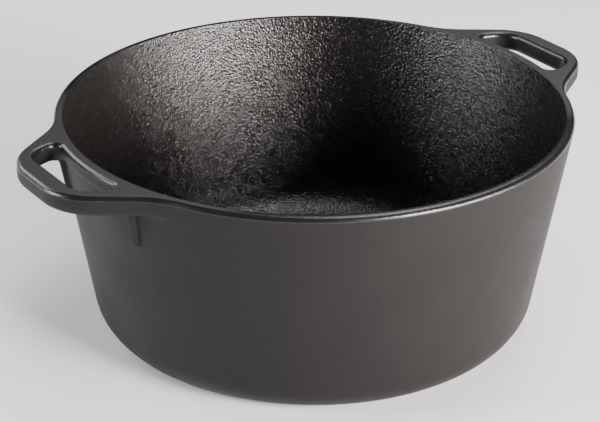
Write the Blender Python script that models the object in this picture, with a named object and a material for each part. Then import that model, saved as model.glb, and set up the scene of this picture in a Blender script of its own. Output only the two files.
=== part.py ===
"""Cast iron dutch oven pot: a tapered round pot with two loop handles level with its rim.

Metres, +Z up. The origin is the centre of the flat underside, and the handles lie along X.
The real pot is one casting. It is split here where its cast features meet: the turned pot, the
two loop handles and the four gusset ribs under the handles' arms, with a fine seam between them.
"""

import math

import bmesh
import bpy
from mathutils import Matrix, Vector

MM = 0.001

# Driving dimensions of the pot.
RIM_RADIUS = 135.4 * MM          # where the straight outer wall would meet the top of the rim
HEIGHT = 119.1 * MM              # underside to rim
FOOT_RADIUS = 115.3 * MM         # where it would meet the plane of the underside
WALL = 5.0 * MM                  # wall thickness, measured level
FLOOR = 6 * MM                   # floor thickness
OUTER_CORNER = 20 * MM           # radius between wall and underside
INNER_CORNER = 22 * MM           # radius between wall and floor, inside
RIM_FILLET = 2.6 * MM            # rounded outer edge of the rim
RIM_BREAK = 0.4 * MM             # small inner edge of the rim

# Driving dimensions of a loop handle, seen from above, with u outwards and v along the rim.
HANDLE_REACH = 163.4 * MM        # outermost u
HANDLE_FLAT_HALF = 25.6 * MM     # v where the straight outer edge would turn into the arm
ARM_FOOT = (121.5 * MM, 54.6 * MM)      # (u, v) that the arm's outer edge runs to
HOLE_REACH = 151.9 * MM          # outer side of the finger hole
HOLE_HALF = 26 * MM              # v of the hole's outer corners
HOLE_FOOT = (135 * MM, 31.7 * MM)       # (u, v) that the arm's inner edge runs to
HANDLE_CORNER = 31 * MM          # rounding of the outer corners
HOLE_CORNER = 12 * MM            # rounding of the hole's outer corners
CROTCH_BLEND = 45.6 * MM         # hollow blend between arm and rim, outside
HOLE_BLEND = 4 * MM              # hollow blend between arm and rim, in the hole
HANDLE_THICK = 10.7 * MM         # top to bottom, top level with the rim
HANDLE_TOP_EDGE = 2.6 * MM       # rounded upper edges
HANDLE_LOW_EDGE = 3.5 * MM       # rounded lower edges

# Driving dimensions of a gusset rib.
RIB_ANGLE = math.radians(15.1)   # its top, off the handle's own axis
RIB_LEAN = math.radians(3.9)     # its lower end leans towards the handle's axis
RIB_THICK = 3.8 * MM
RIB_DROP = 32.5 * MM             # rim down to the rib's lower end
RIB_PROUD = 2.5 * MM             # how far it stands off the wall

# Seams and fineness.
SEAM = 0.3 * MM                  # gap between touching pieces
TURN_STEPS = 96                  # facets round the pot
CUTTER_STEPS = 180               # facets round the seam cutters
ARC_STEP = math.radians(15)      # turn between two points of a small arc
EDGE_STEPS = 3                   # facets across a rounded edge

IRON = (0.035, 0.034, 0.034, 1.0)


def clear_scene():
    for item in list(bpy.data.objects):
        bpy.data.objects.remove(item, do_unlink=True)


def iron_material(name, roughness):
    material = bpy.data.materials.new(name)
    material.use_nodes = True
    shader = material.node_tree.nodes["Principled BSDF"]
    shader.inputs["Base Color"].default_value = IRON
    shader.inputs["Metallic"].default_value = 0.3
    shader.inputs["Roughness"].default_value = roughness
    return material


def new_object(name, bm, material=None):
    """An object in the scene that holds the bmesh, with faces pointing out."""
    bmesh.ops.recalc_face_normals(bm, faces=bm.faces)
    if bm.calc_volume(signed=True) < 0:
        bmesh.ops.reverse_faces(bm, faces=bm.faces)
    mesh = bpy.data.meshes.new(name)
    bm.to_mesh(mesh)
    bm.free()
    item = bpy.data.objects.new(name, mesh)
    bpy.context.scene.collection.objects.link(item)
    if material:
        mesh.materials.append(material)
        mesh.shade_smooth()
        mesh.set_sharp_from_angle(angle=math.radians(35))
    return item


def make_cutter(item):
    item.hide_render = True
    item.display_type = "WIRE"
    return item


def cut(item, cutter):
    modifier = item.modifiers.new("seam", "BOOLEAN")
    modifier.operation = "DIFFERENCE"
    modifier.object = cutter


def arc(centre, radius, start, end):
    """Points on an arc from one angle to another, both ends included."""
    steps = max(2, math.ceil(abs(end - start) / ARC_STEP))
    angles = [start + (end - start) * i / steps for i in range(steps + 1)]
    return [Vector((centre.x + radius * math.cos(a), centre.y + radius * math.sin(a))) for a in angles]


def rounded_corner(before, corner, after, radius):
    """The arc that rounds the corner between two straight lines."""
    to_before = (before - corner).normalized()
    to_after = (after - corner).normalized()
    half_angle = to_before.angle(to_after) / 2
    centre = corner + (to_before + to_after).normalized() * radius / math.sin(half_angle)
    run = radius / math.tan(half_angle)
    first = corner + to_before * run - centre
    last = corner + to_after * run - centre
    start = math.atan2(first.y, first.x)
    turn = math.atan2(first.cross(last), first.dot(last))
    return arc(centre, radius, start, start + turn)


def outer_radius(z):
    """Radius of the tapered outer wall at a height."""
    return FOOT_RADIUS + (RIM_RADIUS - FOOT_RADIUS) * z / HEIGHT


def wall_blend(outer, inner, radius, side):
    """The hollow arc between the line outer-inner and the wall behind the handle.

    The arc lies on the side of the line with larger v (side = 1) or smaller v (side = -1).
    It starts on the line and ends on the circle that the wall makes at the handle's mid height.
    """
    along = (inner - outer).normalized()
    normal = Vector((-along.y, along.x))
    if normal.y * side < 0:
        normal = -normal
    level = normal.dot(outer) + radius
    distance = outer_radius(HEIGHT - HANDLE_THICK / 2) + radius
    centre = normal * level - along * math.sqrt(distance ** 2 - level ** 2)
    start = math.atan2(-normal.y, -normal.x)
    to_axis = -centre.normalized()
    turn = math.atan2((-normal).cross(to_axis), (-normal).dot(to_axis))
    return arc(centre, radius, start, start + turn)


def outer_side():
    """(r, z) points of the pot's outside, from the underside up to the rim's flat top."""
    foot = Vector((FOOT_RADIUS, 0))
    top = Vector((RIM_RADIUS, HEIGHT))
    corner = rounded_corner(Vector((0, 0)), foot, top, OUTER_CORNER)
    rim = rounded_corner(foot, top, Vector((0, HEIGHT)), RIM_FILLET)
    return corner + rim


def inner_side():
    """(r, z) points of the pot's inside, from the rim's flat top down to the floor."""
    top = Vector((RIM_RADIUS - WALL, HEIGHT))
    foot = Vector((outer_radius(FLOOR) - WALL, FLOOR))
    lip = rounded_corner(Vector((RIM_RADIUS, HEIGHT)), top, foot, RIM_BREAK)
    return lip + rounded_corner(top, foot, Vector((0, FLOOR)), INNER_CORNER)


def turned(name, profile, steps, material=None):
    """The closed solid that an (r, z) profile, starting and ending on the axis, sweeps round Z."""
    bm = bmesh.new()
    verts = [bm.verts.new((p.x, 0, p.y)) for p in profile]
    edges = [bm.edges.new(pair) for pair in zip(verts, verts[1:])]
    bmesh.ops.spin(bm, geom=verts + edges, cent=(0, 0, 0), axis=(0, 0, 1),
                   angle=2 * math.pi, steps=steps, use_merge=True)
    bmesh.ops.remove_doubles(bm, verts=bm.verts, dist=0.01 * MM)
    return new_object(name, bm, material)


def pot_body():
    profile = [Vector((0, 0))] + outer_side() + inner_side() + [Vector((0, FLOOR))]
    return turned("pot_body", profile, TURN_STEPS, iron_material("iron_pot", 0.55))


def seam_cutter():
    """The pot's outer form grown by the seam, which trims the handles and ribs to the wall."""
    grown = []
    for point in outer_side():
        grown.append(Vector((point.x + SEAM, point.y)))
    top = grown[-1]
    above = [Vector((top.x, HEIGHT + SEAM)), Vector((0, HEIGHT + SEAM))]
    return make_cutter(turned("seam_cutter", [Vector((0, 0))] + grown + above, CUTTER_STEPS))


def handle_half_outline():
    """One half (v > 0) of a loop handle's outline, from the outer edge round to the hole."""
    reach = Vector((HANDLE_REACH, 0))
    elbow = Vector((HANDLE_REACH, HANDLE_FLAT_HALF))
    foot = Vector(ARM_FOOT)
    hole_foot = Vector(HOLE_FOOT)
    hole_elbow = Vector((HOLE_REACH, HOLE_HALF))
    hole_reach = Vector((HOLE_REACH, 0))
    outside = rounded_corner(reach, elbow, foot, HANDLE_CORNER)
    outside += wall_blend(elbow, foot, CROTCH_BLEND, 1)
    inside = wall_blend(hole_elbow, hole_foot, HOLE_BLEND, -1)[::-1]
    inside += rounded_corner(hole_foot, hole_elbow, hole_reach, HOLE_CORNER)
    root = RIM_RADIUS - 2 * WALL
    buried = [outside[-1].normalized() * root, inside[0].normalized() * root]
    return outside + buried + inside


def moved_in(outline, inset):
    """A closed anticlockwise outline moved inwards."""
    moved = []
    for i, point in enumerate(outline):
        before = (point - outline[i - 1]).normalized()
        after = (outline[(i + 1) % len(outline)] - point).normalized()
        inward = Vector((-before.y - after.y, before.x + after.x)).normalized()
        moved.append(point + inward * inset / inward.dot(Vector((-after.y, after.x))))
    return moved


def edge_levels(low, high):
    """(z, inset) pairs up the side of a plate whose lower and upper edges are rounded."""
    turns = [math.pi / 2 * i / EDGE_STEPS for i in range(EDGE_STEPS + 1)]
    lower = [(low + HANDLE_LOW_EDGE * (1 - math.cos(t)), HANDLE_LOW_EDGE * (1 - math.sin(t)))
             for t in turns]
    upper = [(high - HANDLE_TOP_EDGE * (1 - math.sin(t)), HANDLE_TOP_EDGE * (1 - math.cos(t)))
             for t in turns]
    return lower + upper


def rounded_plate(outline, low, high):
    """A bmesh plate between two heights, its upper and lower edges rounded."""
    bm = bmesh.new()
    loops = [[bm.verts.new((p.x, p.y, z)) for p in moved_in(outline, inset)]
             for z, inset in edge_levels(low, high)]
    bm.faces.new(loops[0][::-1])
    bm.faces.new(loops[-1])
    for lower, upper in zip(loops, loops[1:]):
        for i in range(len(outline)):
            bm.faces.new((lower[i - 1], lower[i], upper[i], upper[i - 1]))
    return bm


def loop_handle(name, turn, cutter):
    half = handle_half_outline()
    mirrored = [Vector((p.x, -p.y)) for p in reversed(half)]
    bm = rounded_plate(half + mirrored, HEIGHT - HANDLE_THICK, HEIGHT)
    item = new_object(name, bm, iron_material("iron_" + name, 0.5))
    item.rotation_euler.z = turn
    cut(item, cutter)
    return item


def gusset_rib(name, turn, lean, cutter):
    """A rib that follows the wall, on the rear (lean = 1) or front (lean = -1) side of an axis."""
    low = HEIGHT - RIB_DROP
    high = HEIGHT - HANDLE_THICK - SEAM
    depth = WALL + RIB_PROUD
    bm = bmesh.new()
    centre = (RIB_PROUD - depth / 2, 0, (high + low) / 2)
    size = (depth, RIB_THICK, high - low)
    bmesh.ops.create_cube(bm, size=1, matrix=Matrix.Translation(centre) @ Matrix.Diagonal((*size, 1)))
    edge = [e for e in bm.edges if all(v.co.x > 0 for v in e.verts)
            and e.verts[0].co.z != e.verts[1].co.z]
    bmesh.ops.bevel(bm, geom=edge, offset=RIB_THICK / 3, offset_type="OFFSET", segments=2,
                    profile=0.5, affect="EDGES")
    for vert in bm.verts:
        vert.co.x += outer_radius(vert.co.z)
        vert.co.y -= lean * math.tan(RIB_LEAN) * (high - vert.co.z)
    item = new_object(name, bm, iron_material("iron_" + name, 0.55))
    item.rotation_euler.z = turn + lean * RIB_ANGLE
    cut(item, cutter)
    return item


def build():
    clear_scene()
    pot_body()
    cutter = seam_cutter()
    for side, turn in (("right", 0), ("left", math.pi)):
        loop_handle(side + "_handle", turn, cutter)
        for end, sign in (("rear", 1), ("front", -1)):
            lean = sign if side == "right" else -sign
            gusset_rib(f"{side}_{end}_rib", turn, lean, cutter)


build()
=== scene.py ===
import math

import bmesh
import bpy
import numpy as np
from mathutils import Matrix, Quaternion, Vector


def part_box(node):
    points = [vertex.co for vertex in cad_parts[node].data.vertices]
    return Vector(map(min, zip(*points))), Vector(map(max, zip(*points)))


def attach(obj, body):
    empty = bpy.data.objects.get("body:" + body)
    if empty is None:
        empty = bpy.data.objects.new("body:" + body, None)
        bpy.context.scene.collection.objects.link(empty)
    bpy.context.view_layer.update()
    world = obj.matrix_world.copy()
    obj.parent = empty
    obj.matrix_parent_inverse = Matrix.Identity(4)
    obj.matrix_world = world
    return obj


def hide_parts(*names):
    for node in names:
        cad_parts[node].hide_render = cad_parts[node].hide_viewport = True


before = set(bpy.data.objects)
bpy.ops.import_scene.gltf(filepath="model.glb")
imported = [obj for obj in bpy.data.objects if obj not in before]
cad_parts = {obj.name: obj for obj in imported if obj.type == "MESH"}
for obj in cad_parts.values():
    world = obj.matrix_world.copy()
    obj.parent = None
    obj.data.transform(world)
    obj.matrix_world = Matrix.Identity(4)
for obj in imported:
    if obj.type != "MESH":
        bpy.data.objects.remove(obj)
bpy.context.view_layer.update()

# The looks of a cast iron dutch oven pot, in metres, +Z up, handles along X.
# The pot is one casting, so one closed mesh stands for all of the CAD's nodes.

MM = 0.001

# Sizes read from the frame.
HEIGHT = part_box("pot_body")[1].z
RIM_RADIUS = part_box("pot_body")[1].x            # widest radius, where the rim's fillet starts
HANDLE_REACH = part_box("right_handle")[1].x
HANDLE_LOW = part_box("right_handle")[0].z        # underside of the handles
RIB_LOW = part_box("right_front_rib")[0].z

# The pot's section.
FILLET = 2.6 * MM                # rounded upper edge of rim and handles
FOOT_RADIUS = 115.3 * MM         # where the straight outer wall would meet the ground
TAPER = (RIM_RADIUS - FOOT_RADIUS) / (HEIGHT - FILLET)
WALL = 5.0 * MM                  # wall thickness, measured level
FLOOR = 6 * MM
OUTER_CORNER = 20 * MM
INNER_CORNER = 22 * MM
RIM_BREAK = 0.4 * MM

# The handles from above, with u outwards and v along the rim.
HANDLE_FLAT_HALF = 25.6 * MM
ARM_FOOT = (121.5 * MM, 54.6 * MM)
HANDLE_CORNER = 31 * MM
CROTCH_BLEND = 45.6 * MM
HOLE_REACH = 151.9 * MM
HOLE_HALF = 26 * MM
HOLE_FOOT = (135 * MM, 31.7 * MM)
HOLE_CORNER = 12 * MM
HOLE_BLEND = 4 * MM
HOLE_PAD = 1.3 * MM              # the wall's thickening beside the hole
LOW_EDGE = 3.5 * MM              # rounded lower edges of the handles
UNDER_BLEND = 2.5 * MM           # hollow between the handles' underside and the wall
UNDER_END = HANDLE_LOW - UNDER_BLEND - 1 * MM   # where the handles' section gives over to the wall's
HOLLOW_START = math.radians(13.6)               # the hollow opens from here off the handle's axis,
HOLLOW_RUN = math.radians(1.6)                  # past the finger hole, over this much more
HOLLOW_LEAST = 0.02 * MM

# The ribs.
RIB_ANGLE = math.radians(15.1)   # its top, off the handle's axis
RIB_LEAN = math.tan(math.radians(3.9))
RIB_PROUD = 2.5 * MM
RIB_CREST = 1.2 * MM             # half width of a rib's flat crest
RIB_SIDE = 1.5 * MM              # width over which its side falls to the wall
RIB_END = 1.4 * MM               # height over which its lower end falls to the wall
RIB_MARGIN = 3 * MM              # above and below a rib's end, where the rows lie closer

# Points along the rounds of the section and of the finger holes.
CORNER_POINTS = 11               # inner corner of the pot
OUTER_CORNER_POINTS = 10
LIP_POINTS = 4
EDGE_POINTS = 8                  # rounded upper edges
LOW_EDGE_POINTS = 6              # rounded lower edges of the finger holes
UNDER_POINTS = 9                 # each of the two rounds under a handle
UNDER_ROWS = 24
TURN_WEIGHT = 5 * MM             # length that a radian of turning counts for when points are spread

# The cut of the finger holes.
CUT_ABOVE = 4 * MM
CUT_BELOW = 1 * MM
CUT_SKIN = 0.01 * MM             # keeps the cutter's levels off the casting's own
CUT_LEDGE = 0.03 * MM            # keeps the cutter's wall side off the casting's wall
CUT_WALL_HALF = math.radians(10.5)
MERGE = 0.05 * MM
SLIVER = 0.002 * MM

# The casting's surface: sizes of its grain, depth of its relief, and where one look gives over to the next.
PEBBLE_SIZE = 1.15 * MM
PEBBLE_NOISE_SIZE = 0.95 * MM
GRAIN_SIZE = 0.9 * MM
PEBBLE_DEPTH = 0.27 * MM
GRAIN_DEPTH = 0.14 * MM
FILLET_DEPTH = 0.11 * MM
LAND_DEPTH = 0.015 * MM
RAGGED_SIZE = 1.1 * MM           # lumps that make the borders between looks uneven
FILLET_RAGGED = 1.6 * MM
LAND_RAGGED = 0.15 * MM
FILLET_BORDER = (2.3 * MM, 2.7 * MM)            # below the top, where the glossy edge ends
LAND_BORDER = (0.1 * MM, 0.2 * MM)              # below the top, where the flat with its painted sheen ends
LAND_PAINTED_SHEEN_SPREAD = (0.62, 0.95)       # the flat's painted sheen fades along the rim between these values of |y| / |x|

# The studio. Azimuths are from +X and elevations from level, in degrees, seen from the middle of the rim.
LIGHT_DISTANCE = 1.5
WHITE = (1, 1, 1)
LIGHTS = (                       # name, azimuth, elevation, width, height, watts, tint
    ("key", 282, 14, 0.55, 0.5, 80, (1, 0.93, 0.91)),
    ("low_key", 305, 6, 0.5, 0.4, 30, (1, 0.95, 0.93)),
    ("side", 156, 14, 0.45, 0.6, 25, (0.92, 0.95, 1)),
    ("side_box", 113, 27, 0.9, 0.7, 12, WHITE),
    ("back", 35, 50, 0.6, 0.5, 6, WHITE),
    ("overhead", 0, 75, 0.6, 0.6, 11, WHITE),
)
WORLD_COLOUR = (0.9, 0.92, 0.95, 1)
WORLD_STRENGTH = 0.05
FLOOR_HALF = 6.0
CAMERA_PLACE = (-0.5196, -0.7591, 0.5074)
CAMERA_AIM = (-0.0060, 0.0041, 0.0571)
CAMERA_ROLL = math.radians(0.14)
CAMERA_LENS = 114.9
CAMERA_SENSOR = 36


def polar(angle):
    return np.array([math.cos(angle), math.sin(angle)])


def angle_of(vector):
    return math.atan2(vector[1], vector[0])


def line_of(start, end):
    """Unit normal on the side of growing u and v, and its level, for a line in the handle's plane."""
    start, end = np.array(start), np.array(end)
    along = (end - start) / np.linalg.norm(end - start)
    normal = np.array([abs(along[1]), abs(along[0])])
    return normal, float(normal @ start)


ARM_NORMAL, ARM_LEVEL = line_of((HANDLE_REACH, HANDLE_FLAT_HALF), ARM_FOOT)
HOLE_NORMAL, HOLE_LEVEL = line_of((HOLE_REACH, HOLE_HALF), HOLE_FOOT)


def meet(reach, normal, level):
    """Where the line u = reach meets the line normal . p = level."""
    return np.array([reach, (level - normal[0] * reach) / normal[1]])


def blend_centre(circle, normal, level):
    """Where the line normal . p = level meets the circle of this radius, nearer the handle's axis."""
    return normal * level + np.array([normal[1], -normal[0]]) * math.sqrt(circle ** 2 - level ** 2)


def outer_wall(z):
    """Radius of the straight outer wall at a height."""
    return FOOT_RADIUS + TAPER * z


def outline(theta, circle, inset):
    """Radius of the rim's and handles' outline at an angle off the handle's axis, moved in by inset."""
    theta = abs(theta)
    corner = meet(HANDLE_REACH - HANDLE_CORNER, ARM_NORMAL, ARM_LEVEL - HANDLE_CORNER)
    crotch = blend_centre(circle + CROTCH_BLEND, ARM_NORMAL, ARM_LEVEL + CROTCH_BLEND)
    corner_radius = HANDLE_CORNER - inset
    crotch_radius = CROTCH_BLEND + inset
    direction = polar(theta)
    if theta > angle_of(crotch):
        return circle - inset
    if theta > angle_of(crotch - crotch_radius * ARM_NORMAL):
        along = crotch @ direction
        return along - math.sqrt(crotch_radius ** 2 - crotch @ crotch + along ** 2)
    if theta > angle_of(corner + corner_radius * ARM_NORMAL):
        return (ARM_LEVEL - inset) / (ARM_NORMAL @ direction)
    if theta > angle_of(corner + np.array([corner_radius, 0])):
        along = corner @ direction
        return along + math.sqrt(corner_radius ** 2 - corner @ corner + along ** 2)
    return (HANDLE_REACH - inset) / direction[0]


def smooth(t):
    t = min(max(t, 0.0), 1.0)
    return t * t * t * (t * (6 * t - 15) + 10)


def rib_height(theta, z):
    """How far a rib stands off the straight wall at an angle off the handle's axis."""
    middle = RIB_ANGLE * RIM_RADIUS - RIB_LEAN * (HANDLE_LOW - z)
    across = abs(abs(theta) * RIM_RADIUS - middle)
    side = 1 - smooth((across - RIB_CREST) / RIB_SIDE)
    end = smooth((z - RIB_LOW + RIB_END / 2) / RIB_END)
    return side * end * RIB_PROUD


def resampled(points, count):
    """count points along a polyline, spread by length plus TURN_WEIGHT times the angle turned."""
    points = np.array(points)
    steps = np.diff(points, axis=0)
    lengths = np.hypot(steps[:, 0], steps[:, 1])
    keep = np.append(lengths > 1e-9, True)
    points = points[keep]
    steps = np.diff(points, axis=0)
    lengths = np.hypot(steps[:, 0], steps[:, 1])
    headings = np.unwrap(np.arctan2(steps[:, 1], steps[:, 0]))
    turns = np.abs(np.diff(headings))
    weight = lengths.copy()
    weight[:-1] += TURN_WEIGHT * turns / 2
    weight[1:] += TURN_WEIGHT * turns / 2
    along = np.concatenate([[0], np.cumsum(weight)])
    wanted = np.linspace(0, along[-1], count)
    return np.stack([np.interp(wanted, along, points[:, i]) for i in (0, 1)], 1)


def arc_points(centre, radius, start, end, count):
    angles = np.linspace(start, end, count)
    return [(centre[0] + radius * math.cos(a), centre[1] + radius * math.sin(a)) for a in angles]


def corner_arc(before, corner, after, radius, count):
    """Arc points that round the corner between two straight lines."""
    before, corner, after = (np.array(p) for p in (before, corner, after))
    to_before = (before - corner) / np.linalg.norm(before - corner)
    to_after = (after - corner) / np.linalg.norm(after - corner)
    half = math.acos(to_before @ to_after) / 2
    middle = to_before + to_after
    centre = corner + middle / np.linalg.norm(middle) * radius / math.sin(half)
    first = angle_of(corner + to_before * radius / math.tan(half) - centre)
    last = angle_of(corner + to_after * radius / math.tan(half) - centre)
    turn = (last - first + math.pi) % (2 * math.pi) - math.pi
    return arc_points(centre, radius, first, first + turn, count)


def inside_section():
    """(r, z) rows from the middle of the floor up to the inner edge of the rim's flat top."""
    top = (outer_wall(HEIGHT) - WALL, HEIGHT)
    foot = (outer_wall(FLOOR) - WALL, FLOOR)
    corner = corner_arc((0, FLOOR), foot, top, INNER_CORNER, CORNER_POINTS)
    lip = corner_arc(foot, top, (RIM_RADIUS, HEIGHT), RIM_BREAK, LIP_POINTS)
    floor = [(r, FLOOR) for r in np.linspace(0, corner[0][0], 7)[1:-1]]
    wall = [tuple(p) for p in np.linspace(corner[-1], lip[0], 10)[1:-1]]
    return floor + corner + wall + lip


def top_rows(theta, start):
    """Rows from the rim's inner edge over the flat top and down the rounded outer edge."""
    edge = outline(theta, RIM_RADIUS, FILLET)
    flat = [(r, HEIGHT) for r in np.linspace(start, edge, 8)[1:]]
    fillet = []
    for turn in np.linspace(0, math.pi / 2, EDGE_POINTS)[1:]:
        z = HEIGHT - FILLET * (1 - math.cos(turn))
        fillet.append((outline(theta, RIM_RADIUS, FILLET * (1 - math.sin(turn))), z))
    side = [(outline(theta, outer_wall(z), 0), z)
            for z in np.linspace(HEIGHT - FILLET, HANDLE_LOW + LOW_EDGE, 5)[1:]]
    return flat + fillet + side


def under_rows(theta):
    """Rows round the handle's lower edge, in along its underside and into the wall."""
    start = HANDLE_LOW + LOW_EDGE
    reach = outline(theta, outer_wall(HANDLE_LOW), 0)
    wall = outer_wall(HANDLE_LOW) + rib_height(theta, HANDLE_LOW)
    hollow = UNDER_BLEND * smooth((abs(theta) - HOLLOW_START) / HOLLOW_RUN) + HOLLOW_LEAST
    width = max(reach - wall, 0)
    span = LOW_EDGE + hollow
    turn = math.acos(max(1 - width / span, 0))
    points = [(outline(theta, outer_wall(start), 0), start)]
    steps = np.linspace(0, turn, UNDER_POINTS)
    for a in steps:
        r = reach - LOW_EDGE * (1 - math.cos(a))
        points.append((r, HANDLE_LOW + LOW_EDGE * (math.sin(turn) - math.sin(a))))
    inner = wall + hollow * (1 - math.cos(turn))
    for a in steps[::-1]:
        r = inner - hollow * (math.cos(a) - math.cos(turn))
        points.append((r, HANDLE_LOW - hollow * (math.sin(turn) - math.sin(a))))
    points.append((outer_wall(UNDER_END) + rib_height(theta, UNDER_END), UNDER_END))
    return [tuple(p) for p in resampled(points, UNDER_ROWS + 1)[1:]]


def wall_rows(theta):
    """Rows down the outer wall, over any rib, round the lower corner and in to the underside's middle."""
    rim = (RIM_RADIUS, HEIGHT - FILLET)
    corner = corner_arc(rim, (FOOT_RADIUS, 0), (0, 0), OUTER_CORNER, OUTER_CORNER_POINTS)
    heights = list(np.linspace(UNDER_END, RIB_LOW + RIB_MARGIN, 7)[1:])
    heights += list(np.linspace(RIB_LOW + RIB_MARGIN, RIB_LOW - RIB_MARGIN, 13)[1:])
    heights += list(np.linspace(RIB_LOW - RIB_MARGIN, corner[0][1], 12)[1:-1])
    wall = [(outer_wall(z) + rib_height(theta, z), z) for z in heights]
    return wall + corner + [(r, 0) for r in np.linspace(corner[-1][0], 0, 6)[1:-1]]


def column(theta):
    """The whole section at an angle off the nearer handle's axis, from the floor's middle outwards."""
    inside = inside_section()
    rows = inside + top_rows(theta, inside[-1][0])
    return rows + under_rows(theta) + wall_rows(theta)


def quadrant_angles():
    """Angles from a handle's axis to the plane between the handles, closer where the shape changes fast."""
    stretches = [(0, 13.2, 0.6), (13.2, 13.9, 0.35), (13.9, 16.1, 0.12), (16.1, 17, 0.3), (17, 25, 0.4),
                 (25, 30, 0.85), (30, 90, 1.5)]     # from, to and step, in degrees
    angles = [0.0]
    for low, high, step in stretches:
        count = max(1, round((high - low) / step))
        angles += list(np.linspace(low, high, count + 1)[1:])
    return np.radians(angles)


def casting_blank():
    """The pot with solid handles: a closed grid of columns round the axis."""
    quarter = quadrant_angles()
    sections = [column(t) for t in quarter]
    half = list(zip(quarter, sections))
    half += [(math.pi - t, s) for t, s in reversed(half[1:-1])]
    around = half + [(t + math.pi, s) for t, s in half]
    rows = len(around[0][1])
    verts = [(r * math.cos(t), r * math.sin(t), z) for t, s in around for r, z in s]
    count = len(around)
    faces = []
    for c in range(count):
        a, b = c * rows, (c + 1) % count * rows
        for k in range(rows - 1):
            faces.append((a + k, a + k + 1, b + k + 1, b + k))
    floor, under = len(verts), len(verts) + 1
    verts += [(0, 0, FLOOR), (0, 0, 0)]
    for c in range(count):
        a, b = c * rows, (c + 1) % count * rows
        faces.append((floor, a, b))
        faces.append((under, b + rows - 1, a + rows - 1))
    return new_mesh("casting", verts, faces)


def new_mesh(name, verts, faces):
    mesh = bpy.data.meshes.new(name)
    mesh.from_pydata([tuple(v) for v in verts], [], faces)
    return mesh


def hole_levels():
    """(z, flare of bar and arms, radius of the wall side) from above the handle to below it."""
    top = RIM_RADIUS + HOLE_PAD
    levels = [(HEIGHT + rise, FILLET, top - FILLET) for rise in (CUT_ABOVE, CUT_SKIN)]
    for turn in np.linspace(0, math.pi / 2, EDGE_POINTS)[1:]:
        flare = FILLET * (1 - math.sin(turn))
        levels.append((HEIGHT - FILLET * (1 - math.cos(turn)), flare, top - flare))
    start = HANDLE_LOW + LOW_EDGE
    for z in np.linspace(HEIGHT - FILLET, start, 4)[1:]:
        levels.append((z, 0, outer_wall(z) + HOLE_PAD))
    for turn in np.linspace(0, math.pi / 2, LOW_EDGE_POINTS)[1:]:
        z = start - LOW_EDGE * math.sin(turn)
        pad = HOLE_PAD * (1 - smooth(math.sin(turn)))
        levels.append((z, LOW_EDGE * (1 - math.cos(turn)), outer_wall(z) + pad))
    for drop in (CUT_SKIN, CUT_BELOW):
        z = HANDLE_LOW - drop
        levels.append((z, LOW_EDGE, outer_wall(z)))
    return levels


def hole_loop(flare, wall, wall_angles):
    """The finger hole's outline in the handle's plane, counterclockwise from the bar's middle."""
    reach = HOLE_REACH + flare
    level = HOLE_LEVEL + flare
    corner_radius = HOLE_CORNER + flare
    blend_radius = HOLE_BLEND + flare
    corner = meet(reach - corner_radius, HOLE_NORMAL, level - corner_radius)
    blend = blend_centre(wall + blend_radius, HOLE_NORMAL, level - blend_radius)
    arm_angle = angle_of(HOLE_NORMAL)
    half = [np.array([reach, v]) for v in np.linspace(0, corner[1], 8)[:-1]]
    bend = [np.array(p) for p in arc_points(corner, corner_radius, 0, arm_angle, 9)]
    wall_turn = angle_of(blend) + math.pi
    turn = [np.array(p) for p in arc_points(blend, blend_radius, arm_angle, wall_turn, 11)]
    half += bend + [bend[-1] + (turn[0] - bend[-1]) * i / 4 for i in (1, 2, 3)] + turn
    side = [wall * polar(a) for a in wall_angles]
    mirrored = [p * (1, -1) for p in half[:0:-1]]
    return half + side + mirrored


def hole_cutter():
    """The finger holes of both handles, flared at top and bottom so that they leave rounded edges."""
    levels = [(z, flare, wall + CUT_LEDGE) for z, flare, wall in hole_levels()]
    inner = [a for a in quadrant_angles() if a < CUT_WALL_HALF]
    wall_angles = inner[:0:-1] + [-a for a in inner]
    loops = [[(x, y, z) for x, y in hole_loop(flare, wall, wall_angles)] for z, flare, wall in levels]
    count = len(loops[0])
    verts, faces = [], []
    for turned in (1, -1):
        base = len(verts)
        verts += [(turned * x, turned * y, z) for loop in loops for x, y, z in loop]
        faces.append([base + i for i in range(count)])
        faces.append([base + (len(loops) - 1) * count + i for i in reversed(range(count))])
        for k in range(len(loops) - 1):
            a, b = base + k * count, base + (k + 1) * count
            for i in range(count):
                j = (i + 1) % count
                faces.append([a + i, b + i, b + j, a + j])
    return new_mesh("hole_cutter", verts, faces)


def add_object(name, data):
    """A new object in the scene that holds a mesh, a light or a camera."""
    item = bpy.data.objects.new(name, data)
    bpy.context.scene.collection.objects.link(item)
    return item


def applied(item):
    """The object's mesh with its modifiers applied."""
    graph = bpy.context.evaluated_depsgraph_get()
    return bpy.data.meshes.new_from_object(item.evaluated_get(graph))


def casting_mesh():
    """The whole casting, with the finger holes cut."""
    blank = add_object("casting_blank", casting_blank())
    cutter = add_object("hole_cutter", hole_cutter())
    hole = blank.modifiers.new("holes", "BOOLEAN")
    hole.operation = "DIFFERENCE"
    hole.solver = "EXACT"
    hole.object = cutter
    mesh = applied(blank)
    for item in (blank, cutter):
        bpy.data.objects.remove(item)
    bm = bmesh.new()
    bm.from_mesh(mesh)
    bmesh.ops.remove_doubles(bm, verts=bm.verts, dist=MERGE)
    bmesh.ops.dissolve_degenerate(bm, edges=bm.edges, dist=SLIVER)
    bmesh.ops.triangulate(bm, faces=[f for f in bm.faces if len(f.verts) > 4])
    bm.to_mesh(mesh)
    bm.free()
    mesh.name = "casting"
    mesh.shade_smooth()
    return mesh


def casting():
    pot = add_object("pot_casting", casting_mesh())
    normals = pot.modifiers.new("normals", "WEIGHTED_NORMAL")
    normals.weight = 50
    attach(pot, "root")
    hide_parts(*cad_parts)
    return pot


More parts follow.
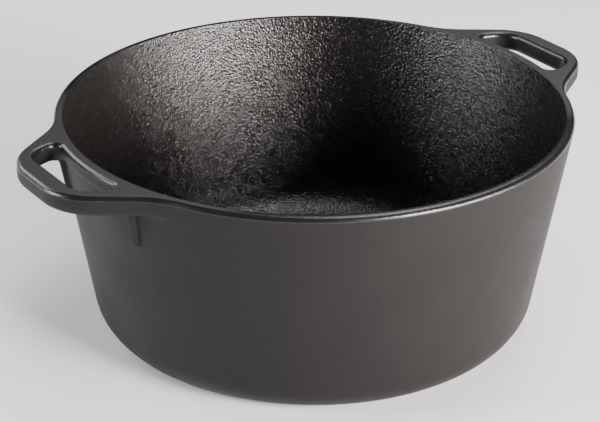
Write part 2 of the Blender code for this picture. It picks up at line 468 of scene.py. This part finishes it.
class Nodes:
    """Short ways to add shader nodes to a material."""

    def __init__(self, material):
        self.tree = material.node_tree

    def link(self, value, socket):
        if isinstance(value, bpy.types.NodeSocket):
            self.tree.links.new(value, socket)
        else:
            socket.default_value = value

    def math(self, operation, *values, clamp=False):
        node = self.tree.nodes.new("ShaderNodeMath")
        node.operation = operation
        node.use_clamp = clamp
        for value, socket in zip(values, node.inputs):
            self.link(value, socket)
        return node.outputs[0]

    def ramp(self, value, low, high, start=0.0, end=1.0):
        """value from low to high, eased, becomes start to end."""
        node = self.tree.nodes.new("ShaderNodeMapRange")
        node.interpolation_type = "SMOOTHSTEP"
        for item, socket in zip((value, low, high, start, end), node.inputs):
            self.link(item, socket)
        return node.outputs[0]

    def mix(self, share, first, second):
        return self.math("ADD", self.math("MULTIPLY", self.math("SUBTRACT", 1.0, share), first),
                         self.math("MULTIPLY", share, second))

    def mix_colour(self, share, first, second):
        node = self.tree.nodes.new("ShaderNodeMix")
        node.data_type = "RGBA"
        self.link(share, node.inputs[0])
        self.link(first, node.inputs[6])
        self.link(second, node.inputs[7])
        return node.outputs[2]

    def noise(self, place, size, detail=2.0, rough=0.5):
        """Noise from 0 to 1 whose lumps are about size metres across."""
        node = self.tree.nodes.new("ShaderNodeTexNoise")
        self.link(place, node.inputs["Vector"])
        node.inputs["Scale"].default_value = 1 / size
        node.inputs["Detail"].default_value = detail
        node.inputs["Roughness"].default_value = rough
        return node.outputs[0]

    def cells(self, place, size, smoothness=0.4):
        """Distance to the nearest of points about size metres apart, in cells."""
        node = self.tree.nodes.new("ShaderNodeTexVoronoi")
        node.feature = "SMOOTH_F1"
        self.link(place, node.inputs["Vector"])
        node.inputs["Scale"].default_value = 1 / size
        node.inputs["Smoothness"].default_value = smoothness
        return node.outputs["Distance"]

    def bump(self, height, depth):
        node = self.tree.nodes.new("ShaderNodeBump")
        node.inputs["Strength"].default_value = 1.0
        self.link(depth, node.inputs["Distance"])
        self.link(height, node.inputs["Height"])
        return node.outputs[0]


def new_material(name):
    material = bpy.data.materials.new(name)
    material.use_nodes = True
    return material, Nodes(material), material.node_tree.nodes["Principled BSDF"]


def grey(value, warmth=0.0):
    return (value * (1 + warmth), value, value * (1 - warmth), 1.0)


def iron_zones(n, place):
    """How far each point belongs to the inside, to the rounded top edges and to the flat tops, which carry
    a painted sheen.
    """
    split = n.tree.nodes.new("ShaderNodeSeparateXYZ")
    n.link(place, split.inputs[0])
    x, y, z = split.outputs
    radius = n.math("SQRT", n.math("ADD", n.math("MULTIPLY", x, x), n.math("MULTIPLY", y, y)))
    wall = n.math("ADD", n.math("MULTIPLY", z, TAPER), FOOT_RADIUS - WALL + 0.25 * MM)
    inside = n.math("MULTIPLY", n.math("LESS_THAN", radius, wall), n.math("GREATER_THAN", z, FLOOR / 2))
    outside = n.math("SUBTRACT", 1.0, inside)

    ragged = n.math("SUBTRACT", n.noise(place, RAGGED_SIZE, 3.0, 0.6), 0.5)
    below = n.math("SUBTRACT", HEIGHT, z)
    fillet_depth = n.math("ADD", below, n.math("MULTIPLY", ragged, FILLET_RAGGED))
    upper = n.ramp(fillet_depth, *FILLET_BORDER, 1.0, 0.0)
    land_depth = n.math("ADD", below, n.math("MULTIPLY", ragged, LAND_RAGGED))
    flat = n.ramp(land_depth, *LAND_BORDER, 1.0, 0.0)
    # The flat tops' painted sheen fades out along the rim towards the front and back.
    spread = n.math("DIVIDE", n.math("ABSOLUTE", y), n.math("MAXIMUM", n.math("ABSOLUTE", x), 1 * MM))
    flat = n.math("MULTIPLY", flat, n.ramp(spread, *LAND_PAINTED_SHEEN_SPREAD, 1.0, 0.0))
    fillet = n.math("MULTIPLY", n.math("MULTIPLY", upper, outside), n.math("SUBTRACT", 1.0, flat))
    return inside, fillet, n.math("MULTIPLY", flat, outside)


def iron_material():
    """Black seasoned cast iron: pebbled inside, fine grained outside, glossy on the rounded top edges
    and painted paler on the flat tops of the handles, a painted sheen for the light they catch from above."""
    material, n, shader = new_material("seasoned_iron")
    place = n.tree.nodes.new("ShaderNodeTexCoord").outputs["Object"]
    inside, fillet, land_painted_sheen = iron_zones(n, place)

    # Colour.
    cloud = n.noise(place, 30 * MM, 3.0)
    tone = n.noise(place, 2.5 * MM, 3.0)
    mottle = n.math("ADD", n.math("MULTIPLY", cloud, 0.6), n.math("MULTIPLY", tone, 0.4))
    matte = n.mix_colour(mottle, grey(0.006, 0.02), grey(0.011, 0.04))
    glossy = n.mix_colour(n.noise(place, 1.2 * MM, 2.0), grey(0.002, 0.08), grey(0.007, 0.12))
    colour = n.mix_colour(inside, matte, glossy)
    colour = n.mix_colour(fillet, colour, grey(0.006))
    # Painted sheen: the flat tops get a paler grey that stands for the light they catch from above.
    colour = n.mix_colour(land_painted_sheen, colour, n.mix_colour(tone, grey(0.020), grey(0.030)))
    n.link(colour, shader.inputs["Base Color"])

    # Sheen of the seasoning.
    rough_out = n.ramp(cloud, 0.3, 0.7, 0.49, 0.56)
    rough_in = n.ramp(n.noise(place, 3 * MM, 2.0), 0.3, 0.7, 0.22, 0.28)
    rough = n.mix(inside, rough_out, rough_in)
    rough = n.mix(fillet, rough, 0.27)
    rough = n.mix(land_painted_sheen, rough, 0.42)
    n.link(rough, shader.inputs["Roughness"])
    gloss = n.mix(inside, 0.18, 0.6)
    gloss = n.mix(n.math("ADD", fillet, land_painted_sheen, clamp=True), gloss, 0.5)
    n.link(gloss, shader.inputs["Specular IOR Level"])

    # Relief: sand-cast pebbles inside, a fine even grain outside, hardly any on the flat tops.
    pebble = n.math("ADD", n.math("MULTIPLY", n.cells(place, PEBBLE_SIZE, 0.25), -1.0),
                    n.math("MULTIPLY", n.noise(place, PEBBLE_NOISE_SIZE, 2.0), 1.2))
    grain = n.noise(place, GRAIN_SIZE, 3.0, 0.6)
    height = n.mix(inside, grain, pebble)
    depth = n.mix(inside, GRAIN_DEPTH, PEBBLE_DEPTH)
    depth = n.mix(land_painted_sheen, n.mix(fillet, depth, FILLET_DEPTH), LAND_DEPTH)
    n.link(n.bump(height, depth), shader.inputs["Normal"])
    return material


def floor_material():
    material, n, shader = new_material("pale_floor")
    place = n.tree.nodes.new("ShaderNodeTexCoord").outputs["Object"]
    colour = n.mix_colour(n.noise(place, 0.4, 2.0), grey(0.84), grey(0.88))
    n.link(colour, shader.inputs["Base Color"])
    shader.inputs["Roughness"].default_value = 0.9
    shader.inputs["Specular IOR Level"].default_value = 0.0
    return material


def studio_floor():
    corners = [(x * FLOOR_HALF, y * FLOOR_HALF, 0) for x, y in ((-1, -1), (1, -1), (1, 1), (-1, 1))]
    floor = add_object("floor", new_mesh("floor", corners, [(0, 1, 2, 3)]))
    floor.data.materials.append(floor_material())


def around_pot(azimuth, elevation, distance):
    """A point seen from the middle of the rim at an azimuth from +X and an elevation, in degrees."""
    a, e = math.radians(azimuth), math.radians(elevation)
    return Vector((math.cos(a) * math.cos(e), math.sin(a) * math.cos(e), math.sin(e))) * distance \
        + Vector((0, 0, HEIGHT))


def soft_light(name, azimuth, elevation, width, height, watts, tint):
    """A rectangular studio light that faces the middle of the rim."""
    light = bpy.data.lights.new(name, "AREA")
    light.shape = "RECTANGLE"
    light.size = width
    light.size_y = height
    light.energy = watts
    light.color = tint
    item = add_object(name, light)
    item.location = around_pot(azimuth, elevation, LIGHT_DISTANCE)
    facing = item.location - Vector((0, 0, HEIGHT))
    item.rotation_euler = facing.to_track_quat("Z", "Y").to_euler()


def studio_lights():
    for settings in LIGHTS:
        soft_light(*settings)


def studio_world():
    world = bpy.data.worlds.new("studio")
    bpy.context.scene.world = world
    world.use_nodes = True
    background = world.node_tree.nodes["Background"]
    background.inputs["Color"].default_value = WORLD_COLOUR
    background.inputs["Strength"].default_value = WORLD_STRENGTH


def studio_camera():
    """The camera, above the rim and to the left of the near side."""
    camera = bpy.data.cameras.new("camera")
    camera.sensor_width = CAMERA_SENSOR
    camera.lens = CAMERA_LENS
    item = add_object("camera", camera)
    item.location = CAMERA_PLACE
    facing = (Vector(CAMERA_AIM) - item.location).to_track_quat("-Z", "Y")
    item.rotation_euler = (facing @ Quaternion((0, 0, 1), CAMERA_ROLL)).to_euler()
    bpy.context.scene.camera = item


pot = casting()
pot.data.materials.clear()
pot.data.materials.append(iron_material())
studio_floor()
studio_lights()
studio_world()
studio_camera()
